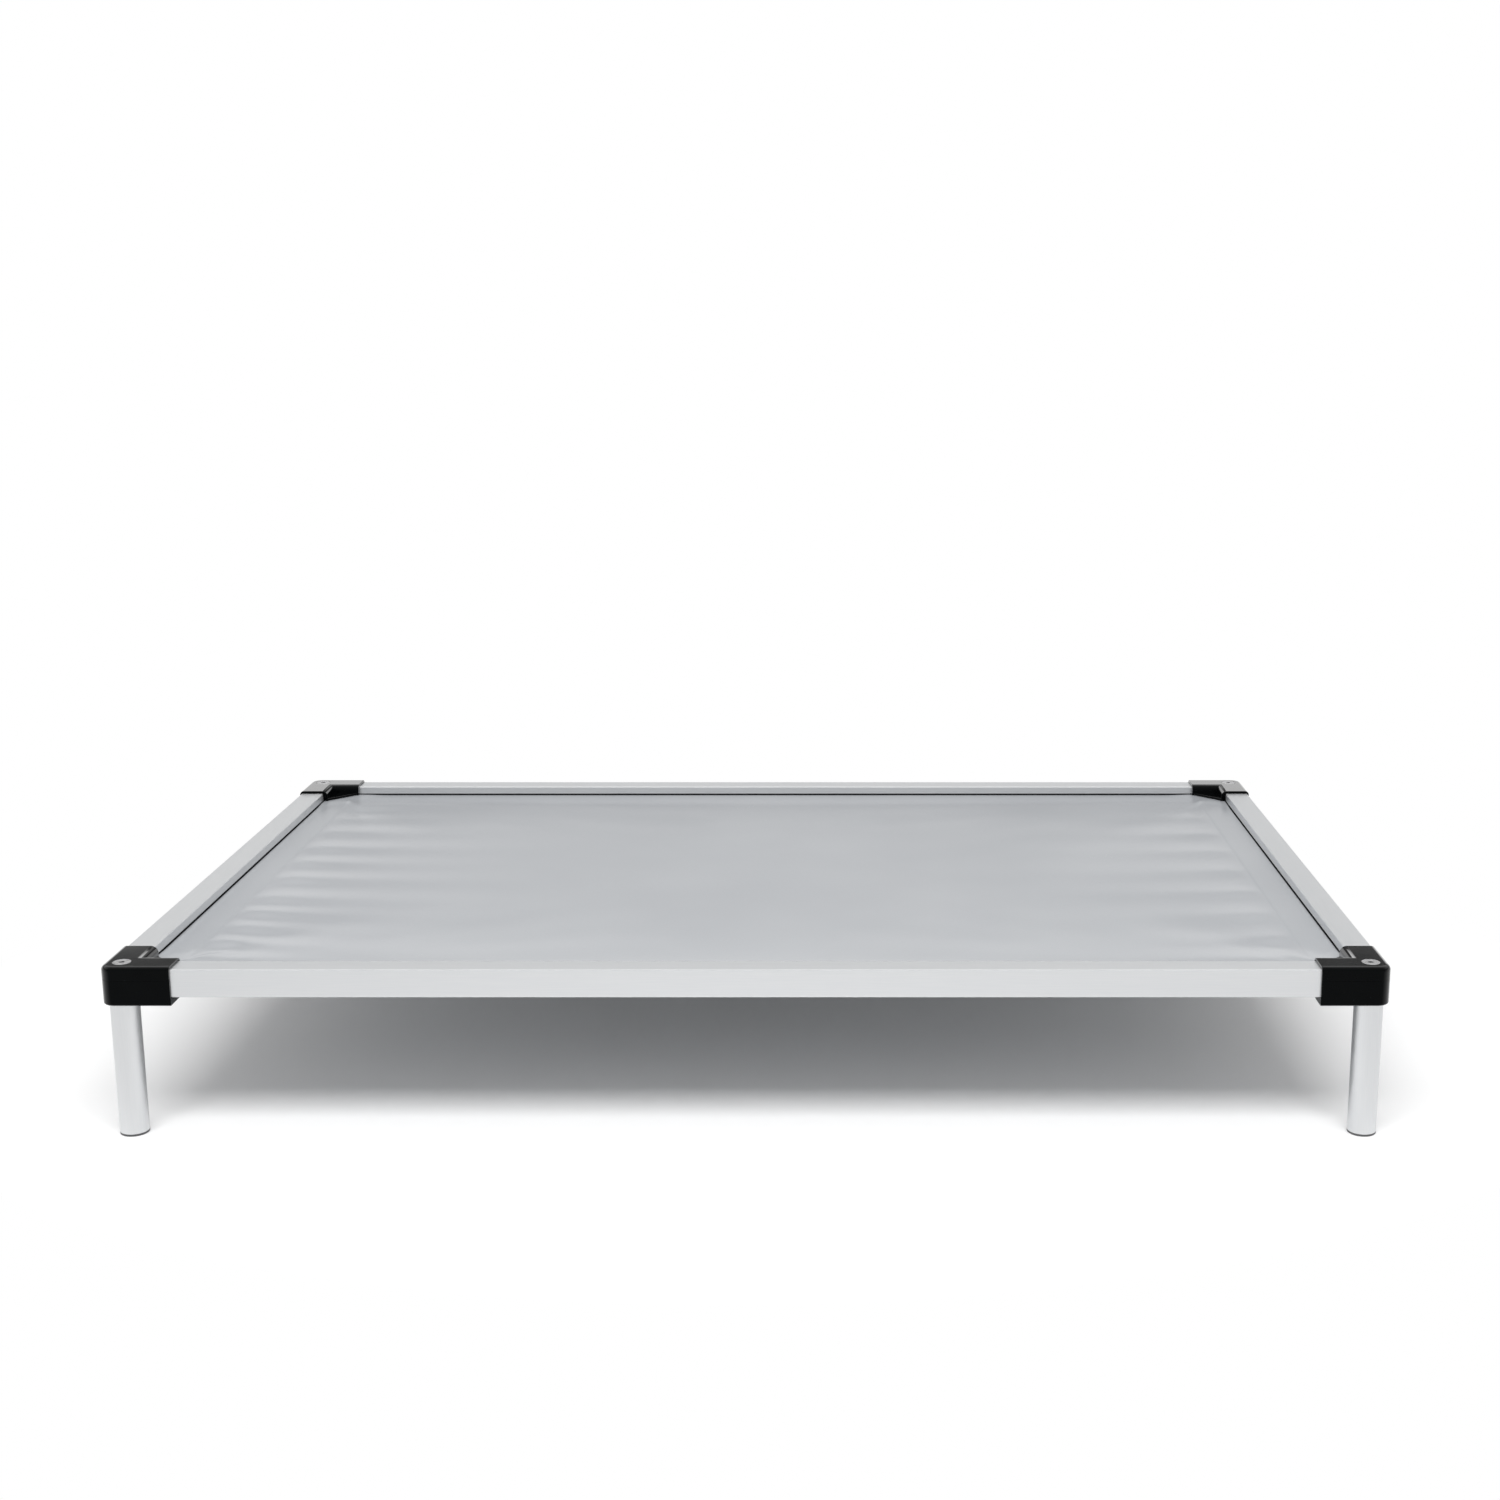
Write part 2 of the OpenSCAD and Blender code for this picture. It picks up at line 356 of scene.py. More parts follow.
def startMaterial(name, stretch=(1, 1, 1)):
    material = bpy.data.materials.new(name)
    material.use_nodes = True
    tree = material.node_tree
    shader = tree.nodes["Principled BSDF"]
    place = addNode(tree, "TexCoord", (-1200, 0))
    mapping = addNode(tree, "Mapping", (-1000, 0))
    mapping.inputs["Scale"].default_value = stretch
    join(tree, place.outputs["Object"], mapping.inputs["Vector"])
    return material, tree, shader, mapping.outputs[0]


def addBump(tree, shader, height, distance, strength):
    bump = addNode(tree, "Bump", (-200, -300))
    bump.inputs["Distance"].default_value = distance
    bump.inputs["Strength"].default_value = strength
    join(tree, height, bump.inputs["Height"])
    join(tree, bump.outputs[0], shader.inputs["Normal"])


aluminiumFinish = {
    "dark": (0.67, 0.685, 0.70),        # tone in the drawn lines
    "light": (0.75, 0.755, 0.76),       # clean anodised surface
    "roughness": 0.43,
    "lineStretch": 45,                  # how much longer a drawn line is than it is wide
    "bump": 0.00002,
    "slotDark": (0.02, 0.02, 0.022),    # shaded metal inside the bead slot
    "slotRoughness": 0.8,
    "slotDepth": 0.0085,
    "slotStart": 0.0002,                # past the rail's inner face
}


def makeAluminium(name, along, across=None, innerFace=0.0):
    finish = aluminiumFinish
    stretch = [finish["lineStretch"]] * 3
    stretch[along] = 1
    material, tree, shader, vector = startMaterial(name, stretch)
    grain = placeGroup(tree, surfaceGrain, vector, {
        "Grain Scale": 30, "Patch Scale": 0.35, "Grain Tone": 0.9, "Patch Tone": 0.8,
        "Roughness": finish["roughness"], "Roughness Spread": 0.12})
    colour = mixColours(tree, grain.outputs["Tone"], finish["dark"], finish["light"])
    rough = grain.outputs["Roughness"]
    if across:
        shade = placeGroup(tree, slotShade, objectPlace(tree), {
            "Across": across, "Inner Face": innerFace + finish["slotStart"],
            "Depth": finish["slotDepth"], "Level": deckLevel})
        colour = mixColours(tree, shade.outputs["Mask"], colour, finish["slotDark"])
        dull = mathNode(tree, "MULTIPLY", shade.outputs["Mask"], finish["slotRoughness"])
        rough = mathNode(tree, "MAXIMUM", rough, dull)
    join(tree, colour, shader.inputs["Base Color"])
    join(tree, rough, shader.inputs["Roughness"])
    shader.inputs["Metallic"].default_value = 1
    addBump(tree, shader, grain.outputs["Height"], finish["bump"], 0.5)
    return material


plasticFinish = {
    "black": (0.0006, 0.0009, 0.0010),
    "worn": (0.0016, 0.0020, 0.0022),
    "dust": (0.35, 0.34, 0.33),
    "roughness": 0.09,
    "ior": 1.13,
    "coatIor": 1.7,            # the polish that shows at a low angle
    "coatRoughness": 0.06,
    "coatGain": 1.6,
    "coatStart": -0.3,
    "bump": 0.00003,
    "bumpStrength": 0.12,
}


def makePlastic(name, black, worn, roughness, ior, dustAmount, polished=False):
    material, tree, shader, vector = startMaterial(name)
    grain = placeGroup(tree, surfaceGrain, vector, {
        "Grain Scale": 1400, "Patch Scale": 45, "Grain Tone": 0.5, "Patch Tone": 0.9,
        "Roughness": roughness, "Roughness Spread": 0.08})
    dust = placeGroup(tree, settledDust, vector, {"Speck Scale": 1100, "Amount": dustAmount})
    colour = mixColours(tree, grain.outputs["Tone"], black, worn)
    colour = mixColours(tree, dust.outputs["Mask"], colour, plasticFinish["dust"])
    join(tree, colour, shader.inputs["Base Color"])
    join(tree, grain.outputs["Roughness"], shader.inputs["Roughness"])
    shader.inputs["IOR"].default_value = ior
    if polished:
        facing = addNode(tree, "LayerWeight")
        sheen = mathNode(tree, "MULTIPLY_ADD", facing.outputs["Facing"], plasticFinish["coatGain"],
                         plasticFinish["coatStart"], clamp=True)
        join(tree, sheen, shader.inputs["Coat Weight"])
        shader.inputs["Coat IOR"].default_value = plasticFinish["coatIor"]
        shader.inputs["Coat Roughness"].default_value = plasticFinish["coatRoughness"]
    addBump(tree, shader, grain.outputs["Height"], plasticFinish["bump"], plasticFinish["bumpStrength"])
    return material


steelFinish = {
    "dark": (0.46, 0.46, 0.47),
    "light": (0.74, 0.74, 0.75),
    "dust": (0.2, 0.19, 0.18),
    "roughness": 0.28,
}


def makeSteel(name):
    material, tree, shader, vector = startMaterial(name)
    grain = placeGroup(tree, surfaceGrain, vector, {
        "Grain Scale": 1800, "Patch Scale": 160, "Grain Tone": 0.6, "Patch Tone": 0.8,
        "Roughness": steelFinish["roughness"], "Roughness Spread": 0.2})
    dust = placeGroup(tree, settledDust, vector, {"Speck Scale": 1500, "Amount": 0.15})
    colour = mixColours(tree, grain.outputs["Tone"], steelFinish["dark"], steelFinish["light"])
    colour = mixColours(tree, dust.outputs["Mask"], colour, steelFinish["dust"])
    join(tree, colour, shader.inputs["Base Color"])
    join(tree, grain.outputs["Roughness"], shader.inputs["Roughness"])
    shader.inputs["Metallic"].default_value = 1
    addBump(tree, shader, grain.outputs["Height"], 0.00003, 0.4)
    return material


fabricFinish = {
    "dark": (0.312, 0.326, 0.346),
    "light": (0.398, 0.410, 0.426),
    "roughness": 0.23,
    "ior": 1.5,
    "edgeDark": (0.03, 0.03, 0.033),   # shaded line where the sheet enters the slot
    "edgeWidth": 0.0012,
    "grainBump": 0.00006,
}


def makeFabric(name):
    finish = fabricFinish
    material, tree, shader, vector = startMaterial(name)
    grain = placeGroup(tree, surfaceGrain, vector, {
        "Grain Scale": 650, "Patch Scale": 5, "Grain Tone": 0.2, "Patch Tone": 0.8,
        "Roughness": finish["roughness"], "Roughness Spread": 0.1})
    colour = mixColours(tree, grain.outputs["Tone"], finish["dark"], finish["light"])
    axes = addNode(tree, "SeparateXYZ")
    join(tree, objectPlace(tree), axes.inputs[0])
    away = [mathNode(tree, "SUBTRACT", edge, mathNode(tree, "ABSOLUTE", axes.outputs[axis]))
            for axis, edge in ((0, -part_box("rail_left")[1].x), (1, -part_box("rail_front")[1].y))]
    inward = mathNode(tree, "MINIMUM", away[0], away[1])
    atEdge = mathNode(tree, "MULTIPLY_ADD", inward, -2 / finish["edgeWidth"], 2.0, clamp=True)
    colour = mixColours(tree, atEdge, colour, finish["edgeDark"])
    join(tree, colour, shader.inputs["Base Color"])
    join(tree, grain.outputs["Roughness"], shader.inputs["Roughness"])
    shader.inputs["IOR"].default_value = finish["ior"]
    addBump(tree, shader, grain.outputs["Height"], finish["grainBump"], 0.2)
    return material


deckLow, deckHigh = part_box("deck_fabric")
deckLevel = (deckLow.z + deckHigh.z) / 2
aluminiumAlongX = makeAluminium("aluminiumAlongX", 0, (0, 1, 0), -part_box("rail_front")[1].y)
aluminiumAlongY = makeAluminium("aluminiumAlongY", 1, (1, 0, 0), -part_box("rail_left")[1].x)
aluminiumUpright = makeAluminium("aluminiumUpright", 2)
blackPlastic = makePlastic("blackPlastic", plasticFinish["black"], plasticFinish["worn"],
                           plasticFinish["roughness"], plasticFinish["ior"], 0.006, True)
footPlastic = makePlastic("footPlastic", (0.055, 0.055, 0.058), (0.10, 0.10, 0.105), 0.45, 1.45, 0.1)
beadPlastic = makePlastic("beadPlastic", (0.03, 0.03, 0.032), (0.06, 0.06, 0.062), 0.4, 1.45, 0.02)
boltSteel = makeSteel("boltSteel")
plugSteel = makeSteel("plugSteel")
coatedFabric = makeFabric("coatedFabric")
print("materials ready")


# rails, beads and leg plugs keep their CAD shape
railFinish = {"front": aluminiumAlongX, "rear": aluminiumAlongX,
              "left": aluminiumAlongY, "right": aluminiumAlongY}


def dress(nodeName, material):
    piece = frame["nodes"][nodeName]
    for slotIndex in range(len(piece.material_slots)):
        piece.material_slots[slotIndex].material = material


for side in sides:
    dress("rail_" + side, railFinish[side])
    dress("edge_bead_" + side, beadPlastic)
for corner in corners:
    dress("leg_plug_" + corner, plugSteel)
print("rails dressed")


# corner blocks: a cap and a base in each corner
cornerBlock = {
    "innerWall": 0.0052,      # plastic between a rail and the deck
    "railClear": 0.0002,      # room round a rail
    "railStop": 0.032,        # from the rails' outer faces to the end of a rail
    "uprightRound": 0.012,    # outer corner, seen from above
    "outerEdge": 0.0046,      # upper edge on the outside
    "innerEdge": 0.0065,      # upper edge towards the deck
    "lowerEdge": 0.002,
    "armEdge": 0.0006,        # small round at the end of an arm
    "seamEdge": 0.00035,      # small round along the joint, which shows as a fine groove
    "seamGap": 0.00004,       # between the two halves inside the groove
    "webThick": 0.0024,
    "webGap": 0.0008,         # from the deck's middle to a web
    "webShort": 0.0012,       # the web stops this short of an arm's end
    "webEdge": 0.0010,
    "mouth": 0.0005,          # flare round the rail's mouth
    "roundSteps": 12,
    "legClear": 0.0002,       # room round the leg
    "cutPast": 0.001,         # how far a cutting shape stands out
}

railLow = Vector((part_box("rail_left")[0].x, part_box("rail_front")[0].y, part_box("rail_front")[0].z))
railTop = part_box("rail_front")[1].z
railSize = railTop - railLow.z
baseLow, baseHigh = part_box("corner_base_front_left")
capLow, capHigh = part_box("corner_cap_front_left")
seamLevel = (capLow.z + baseHigh.z) / 2
innerX = railLow.x + railSize + cornerBlock["innerWall"]
innerY = railLow.y + railSize + cornerBlock["innerWall"]
legLow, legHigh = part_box("leg_front_left")
legAxis = Vector(((legLow.x + legHigh.x) / 2, (legLow.y + legHigh.y) / 2, 0))
legRadius = (legHigh.x - legLow.x) / 2
boltLow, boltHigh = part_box("corner_bolt_front_left")
boltHead = (boltHigh.x - boltLow.x) / 2


def makeArms(name, zLow, zHigh):
    size = cornerBlock
    body = addBox(name, (capLow.x, capLow.y, zLow), (innerX, innerY, zHigh))
    pickFaces(body, lambda c, n: n.x > 0.9)
    extrude((capHigh.x - innerX, 0, 0))
    done()
    pickFaces(body, lambda c, n: n.y > 0.9 and c.x < innerX)
    extrude((0, capHigh.y - innerY, 0))
    bpy.ops.mesh.select_all(action="SELECT")
    bpy.ops.mesh.dissolve_limited(angle_limit=radians(2))
    done()
    pickEdges(body, lambda a, b: near(a.x, capLow.x) and near(a.y, capLow.y)
              and near(b.x, a.x) and near(b.y, a.y))
    roundOff(size["uprightRound"], size["roundSteps"])
    return body


def onEnd(a, b):
    return ((near(a.x, capHigh.x) and near(b.x, capHigh.x))
            or (near(a.y, capHigh.y) and near(b.y, capHigh.y)))


def isOuter(point):
    return min(point.x - capLow.x, point.y - capLow.y) < cornerBlock["uprightRound"] + 0.001


def roundLevel(body, level, outerRadius, innerRadius, steps):
    pickEdges(body, lambda a, b: near(a.z, level) and near(b.z, level) and not onEnd(a, b)
              and isOuter(a) and isOuter(b))
    roundOff(outerRadius, steps)
    pickEdges(body, lambda a, b: near(a.z, level) and near(b.z, level) and not onEnd(a, b)
              and not isOuter(a) and not isOuter(b))
    roundOff(innerRadius, steps)


def roundEnds(body, seam):
    def onSeam(a, b):
        return near(a.z, seam) and near(b.z, seam)

    pickEdges(body, lambda a, b: onEnd(a, b) and not onSeam(a, b))
    roundOff(cornerBlock["armEdge"], 3)
    pickEdges(body, onSeam)
    roundOff(cornerBlock["seamEdge"], 2)


def makeWeb(zLow):
    size = cornerBlock
    endX = capHigh.x - size["webShort"]
    endY = capHigh.y - size["webShort"]
    sunk = size["cutPast"]
    web = addBox("web", (innerX - sunk, innerY - sunk, zLow), (endX, endY, zLow + size["webThick"]))
    slope = Vector((endY - innerY, endX - innerX, 0)).normalized()
    corner = Vector((endX, innerY, 0))
    pickAll(web)
    bpy.ops.mesh.bisect(plane_co=corner, plane_no=slope, use_fill=True, clear_outer=True,
                        threshold=0.000001)
    done()

    def onSlope(p):
        return abs((p - corner).dot(Vector((slope.x, slope.y, 0)))) < 0.00003

    pickEdges(web, lambda a, b: onSlope(a) and onSlope(b) and near(a.z, b.z))
    roundOff(size["webEdge"], 4)
    return web


def makePocket(alongX):
    size = cornerBlock
    room = size["railClear"]
    start = size["railStop"]
    low = Vector((start, -room, railLow.z - room))
    end = capHigh.x - railLow.x - size["mouth"]
    high = Vector((end, railSize + room, railTop + room))
    if not alongX:
        low.x, low.y = low.y, low.x
        high.x, high.y = high.y, high.x
    shift = Vector((railLow.x, railLow.y, 0))
    pocket = addBox("pocket", low + shift, high + shift)
    axis = 0 if alongX else 1
    pickFaces(pocket, lambda c, n: n[axis] > 0.9)
    step = [0, 0, 0]
    step[axis] = size["mouth"] * 2
    extrude(step)
    middle = (low + high) / 2 + shift
    middle[axis] = high[axis] + shift[axis] + step[axis]
    grow = [1 + 4 * size["mouth"] / (high[i] - low[i]) if i != axis else 1 for i in range(3)]
    bpy.ops.transform.resize(value=grow, center_override=middle)
    done()
    return pocket


def makeCap():
    seam = seamLevel + cornerBlock["seamGap"] / 2
    cap = makeArms("cornerCap", seam, capHigh.z)
    roundLevel(cap, capHigh.z, cornerBlock["outerEdge"], cornerBlock["innerEdge"],
               cornerBlock["roundSteps"])
    roundEnds(cap, seam)
    combine(cap, makeWeb(deckLevel + cornerBlock["webGap"]), "UNION")
    for alongX in (True, False):
        combine(cap, makePocket(alongX), "DIFFERENCE")
    combine(cap, makeBoltRoom(), "DIFFERENCE")
    return cap


boltSize = {
    "rim": 0.0005,                    # straight rim of the head
    "shank": 0.004,                   # radius of the thread
    "clear": 0.0002,
    "hexagon": 0.0025 / cos(pi / 6),  # from the middle to a corner
    "hexagonDepth": 0.003,
    "edge": 0.0002,
    "tip": 0.0008,                    # chamfer at the thread's end
    "flare": 0.0003,                  # widens the cap's hole at the top
}


def shrinkTo(ratio, centre, z):
    bpy.ops.transform.resize(value=(ratio, ratio, 1), center_override=(centre.x, centre.y, z))


def makeBoltRoom():
    size = boltSize
    wide = boltHead + size["clear"]
    thin = size["shank"] + size["clear"]
    top = capHigh.z - size["flare"]
    rimLow = capHigh.z - size["rim"] - size["clear"]
    room = addRound("boltRoom", legAxis, wide, rimLow, top, 64)
    pickFaces(room, lambda c, n: n.z > 0.9)
    extrude((0, 0, 2 * size["flare"]))
    shrinkTo(1 + 2 * size["flare"] / wide, legAxis, top)
    done()
    pickFaces(room, lambda c, n: n.z < -0.9)
    extrude((0, 0, thin - wide))
    shrinkTo(thin / wide, legAxis, rimLow + thin - wide)
    extrude((0, 0, capLow.z - 0.005 - (rimLow + thin - wide)))
    done()
    return room


def makeBase():
    seam = seamLevel - cornerBlock["seamGap"] / 2
    base = makeArms("cornerBase", baseLow.z, seam)
    roundLevel(base, baseLow.z, cornerBlock["lowerEdge"], cornerBlock["lowerEdge"], 6)
    roundEnds(base, seam)
    web = makeWeb(deckLevel - cornerBlock["webGap"] - cornerBlock["webThick"])
    combine(base, web, "UNION")
    for alongX in (True, False):
        combine(base, makePocket(alongX), "DIFFERENCE")
    past = cornerBlock["cutPast"]
    room = addRound("legRoom", legAxis, legRadius + cornerBlock["legClear"], baseLow.z - past,
                    legHigh.z)
    pickFaces(room, lambda c, n: n.z > 0.9)
    bpy.ops.mesh.inset(thickness=legRadius - boltSize["shank"])
    extrude((0, 0, baseHigh.z + past - legHigh.z))
    done()
    combine(base, room, "DIFFERENCE")
    return base


def toCorner(piece, corner):
    focus(piece)
    piece.scale = (-1 if "right" in corner else 1, -1 if "rear" in corner else 1, 1)
    settle()
    outwards(piece)


def spread(first, nodeStart, material, angle=32):
    twins = [copyOf(first, nodeStart.replace("_", "-") + "-" + corner.replace("_", "-"))
             for corner in corners]
    bpy.data.objects.remove(first, do_unlink=True)
    for twin, corner in zip(twins, corners):
        toCorner(twin, corner)
        smooth(twin, angle)
        fitOut(twin, nodeStart + "_" + corner, material)
    return twins


spread(makeCap(), "corner_cap", blackPlastic)
spread(makeBase(), "corner_base", blackPlastic)
print("corner blocks made")


def makeBolt():
    size = boltSize
    rimLow = boltHigh.z - size["rim"]
    bolt = addRound("bolt", legAxis, boltHead, rimLow, boltHigh.z, 72)
    pickFaces(bolt, lambda c, n: n.z < -0.9)
    extrude((0, 0, size["shank"] - boltHead))
    shrinkTo(size["shank"] / boltHead, legAxis, rimLow + size["shank"] - boltHead)
    extrude((0, 0, boltLow.z - (rimLow + size["shank"] - boltHead)))
    done()
    pickEdges(bolt, lambda a, b: near(a.z, boltHigh.z) and near(b.z, boltHigh.z))
    roundOff(size["edge"], 3)
    pickEdges(bolt, lambda a, b: near(a.z, boltLow.z) and near(b.z, boltLow.z))
    roundOff(size["tip"], 1)
    hexagon = addRound("hexagon", legAxis, size["hexagon"], boltHigh.z - size["hexagonDepth"],
                       boltHigh.z - size["edge"], 6)
    pickFaces(hexagon, lambda c, n: n.z > 0.9)
    extrude((0, 0, 2 * size["edge"]))
    shrinkTo(1 + 2 * size["edge"] / size["hexagon"], legAxis, boltHigh.z)
    done()
    combine(bolt, hexagon, "DIFFERENCE")
    return bolt


spread(makeBolt(), "corner_bolt", boltSteel)
print("bolts made")


# legs and feet
legSize = {
    "wall": 0.0016,
    "edge": 0.00035,
}

footSize = {
    "chamfer": 0.0006,
    "stemClear": 0.0001,
    "stemHeight": 0.012,
    "stemWall": 0.0025,
    "edge": 0.0002,
}


def makeLeg():
    leg = addRound("leg", legAxis, legRadius, legLow.z, legHigh.z)
    pickFaces(leg, lambda c, n: abs(n.z) > 0.9)
    bpy.ops.mesh.inset(thickness=legSize["wall"])
    bpy.ops.mesh.bridge_edge_loops()
    done()
    pickEdges(leg, lambda a, b: near(a.z, b.z) and (near(a.z, legLow.z) or near(a.z, legHigh.z))
              and near(hypot(a.x - legAxis.x, a.y - legAxis.y), hypot(b.x - legAxis.x, b.y - legAxis.y)))
    roundOff(legSize["edge"], 3)
    return leg


def makeFoot():
    size = footSize
    low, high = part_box("foot_front_left")
    flange = legLow.z
    stem = legRadius - legSize["wall"] - size["stemClear"]
    foot = addRound("foot", legAxis, legRadius, low.z, flange)
    pickEdges(foot, lambda a, b: near(a.z, low.z) and near(b.z, low.z))
    roundOff(size["chamfer"], 1)
    pickEdges(foot, lambda a, b: near(a.z, flange) and near(b.z, flange))
    roundOff(size["edge"], 2)
    pickFaces(foot, lambda c, n: n.z > 0.99)
    bpy.ops.mesh.inset(thickness=legRadius - size["edge"] - stem)
    extrude((0, 0, high.z - flange))
    bpy.ops.mesh.inset(thickness=size["stemWall"])
    extrude((0, 0, flange - high.z))
    done()
    return foot


spread(makeLeg(), "leg", aluminiumUpright)
spread(makeFoot(), "foot", footPlastic)
print("legs and feet made")


# the deck, a sheet held at its four edges
deckShape = {
    "cell": 0.005,            # size of the sheet's squares
    "thick": 0.0009,
    "clear": 0.0003,          # from the sheet's cut edges to a block
    "hemWidth": 0.030,        # flat band along the short sides, from the rail's inner face
    "hemRise": 0.00025,
    "hemEdge": 0.0011,        # half width of the hem's inner edge
    "webHold": 0.006,         # width of sheet that the webs hold across a corner
    "edgeSag": 0.0040,        # drop that is reached close to the rails
    "edgeSagReach": 0.045,
    "slotDip": 0.0007,        # how far the sheet lies below the slot's middle
    "puckerDepth": 1.05,      # makes every pucker deeper or shallower
    "middleSag": 0.0025,
    "puckerWide": 0.0118,     # half width of a pucker near the hem
    "puckerSpread": 0.045,    # how much wider it gets for each metre inwards
    "puckerEarly": 0.004,     # a pucker starts this far inside the hem
    "puckerRise": 0.028,      # length over which it comes up
    "puckerHead": 0.060,      # length of its deep first part
    "headPart": 0.7,
    "tailPart": 0.5,
    "slotBand": 0.0015,       # strip of sheet that stays at the slot's level
    "foldBand": 0.012,        # strip along a rail in which folds die out
    "railBand": 0.05,         # strip along the long rails without puckers
}

# puckers along the left hem: place along the rail, depth, reach inwards, slant
leftPuckers = [
    (-0.285, 0.0013, 0.080, -0.16),
    (-0.236, 0.0019, 0.150, -0.16),
    (-0.189, 0.0012, 0.120, -0.10),
    (-0.141, 0.0014, 0.170, -0.05),
    (-0.093, 0.0012, 0.160, -0.03),
    (-0.023, 0.0013, 0.190, 0.00),
    (0.040, 0.0010, 0.170, 0.00),
    (0.098, 0.0011, 0.180, 0.03),
    (0.166, 0.0009, 0.150, 0.03),
    (0.226, 0.0007, 0.150, 0.05),
    (0.278, 0.0006, 0.120, 0.06),
]
rightPuckers = [
    (-0.290, 0.0007, 0.110, -0.10),
    (-0.225, 0.0009, 0.140, -0.08),
    (-0.150, 0.0008, 0.170, -0.04),
    (-0.075, 0.0009, 0.150, 0.02),
    (0.005, 0.0007, 0.180, 0.00),
    (0.080, 0.0008, 0.150, 0.04),
    (0.155, 0.0007, 0.140, 0.05),
    (0.230, 0.0006, 0.130, 0.08),
]
random.seed(41)


def softStep(value):
    value = min(max(value, 0), 1)
    return value * value * (3 - 2 * value)


def ridge(across, wide):
    t = across / wide
    return exp(-t * t / 2) - 0.45 * exp(-(t - 1.9) * (t - 1.9) / 3.2)


def sidePuckers(inward, along, puckers):
    start = deckShape["hemWidth"]
    if inward < start - deckShape["puckerEarly"]:
        return 0
    height = 0
    past = inward - start
    for place, depth, reach, slant in puckers:
        wide = deckShape["puckerWide"] + deckShape["puckerSpread"] * past
        across = along - place - slant * past
        if abs(across) > 6 * wide:
            continue
        tail = exp(-(max(past, 0) / reach) ** 1.6)
        head = exp(-(max(past, 0) / deckShape["puckerHead"]) ** 2)
        swell = softStep((past + deckShape["puckerEarly"]) / deckShape["puckerRise"])
        swell = swell * (deckShape["tailPart"] * tail + deckShape["headPart"] * head)
        height += depth * swell * ridge(-across, wide)
    return height * deckShape["puckerDepth"]


diagonal = 1.4142
innerLeft = railLow.x + railSize
innerFront = railLow.y + railSize
webMiddle = Vector(((capHigh.x + innerX) / 2, (capHigh.y + innerY) / 2, 0))
foldShape = {
    "count": 7,               # short folds at each corner
    "fan": 38,                # degrees to either side of the diagonal
    "depth": 0.0006,
    "wide": 0.0042,
    "longGain": 1.5,          # makes the long folds deeper or shallower
    "farthest": 0.45,
}

# turn from the long side in degrees, depth, reach
longFolds = [
    (20, 0.0008, 0.30),
    (31, 0.0007, 0.26),
    (40, 0.0006, 0.20),
    (9, 0.0008, 0.36),
]
cornerFolds = [(radians(45 + random.uniform(-foldShape["fan"], foldShape["fan"])),
                random.uniform(0.5, 1), random.uniform(0.03, 0.075))
               for i in range(foldShape["count"])]


def cornerPuckers(x, y):
    px = -abs(x) - webMiddle.x
    py = -abs(y) - webMiddle.y
    away = hypot(px, py)
    if away > foldShape["farthest"]:
        return 0
    angle = atan2(py, px)
    inside = (px + py) / diagonal
    start = softStep((inside - 0.002) / 0.016)
    height = 0
    for turn, strength, reach in cornerFolds:
        across = (angle - turn) * max(away, 0.012)
        swell = foldShape["depth"] * strength * start * exp(-(away / reach) ** 2)
        height += swell * exp(-(across / foldShape["wide"]) ** 2)
    for turn, depth, reach in longFolds:
        across = (angle - radians(turn)) * away
        swell = foldShape["longGain"] * depth * softStep(away / 0.12) * exp(-(away / reach) ** 2)
        height += swell * ridge(across, 0.014 + 0.03 * away)
    return height


def deckHeight(x, y):
    size = deckShape
    inwardX = -innerLeft - abs(x)
    inwardY = -innerFront - abs(y)
    webFree = softStep(((-webMiddle.x - abs(x)) + (-webMiddle.y - abs(y))) / diagonal / 0.02)
    if min(inwardX, inwardY) < size["slotBand"]:
        return -size["slotDip"] * webFree
    edge = min(1, inwardX / size["foldBand"], inwardY / size["foldBand"])
    reach = size["edgeSagReach"]
    fall = (1 - exp(-inwardX / reach)) * (1 - exp(-inwardY / reach))
    bowl = max(0, 1 - (x / innerLeft) ** 2) * max(0, 1 - (y / innerFront) ** 2)
    height = -size["slotDip"] - size["edgeSag"] * fall - size["middleSag"] * bowl
    puckers = leftPuckers if x < 0 else rightPuckers
    offRails = softStep(inwardY / size["railBand"])
    height += sidePuckers(inwardX, y, puckers) * offRails
    height += cornerPuckers(x, y) * edge
    hem = 1 - softStep((inwardX - size["hemWidth"]) / 0.002 + 0.5)
    height += size["hemRise"] * hem * softStep(inwardX / 0.004)
    return height * webFree


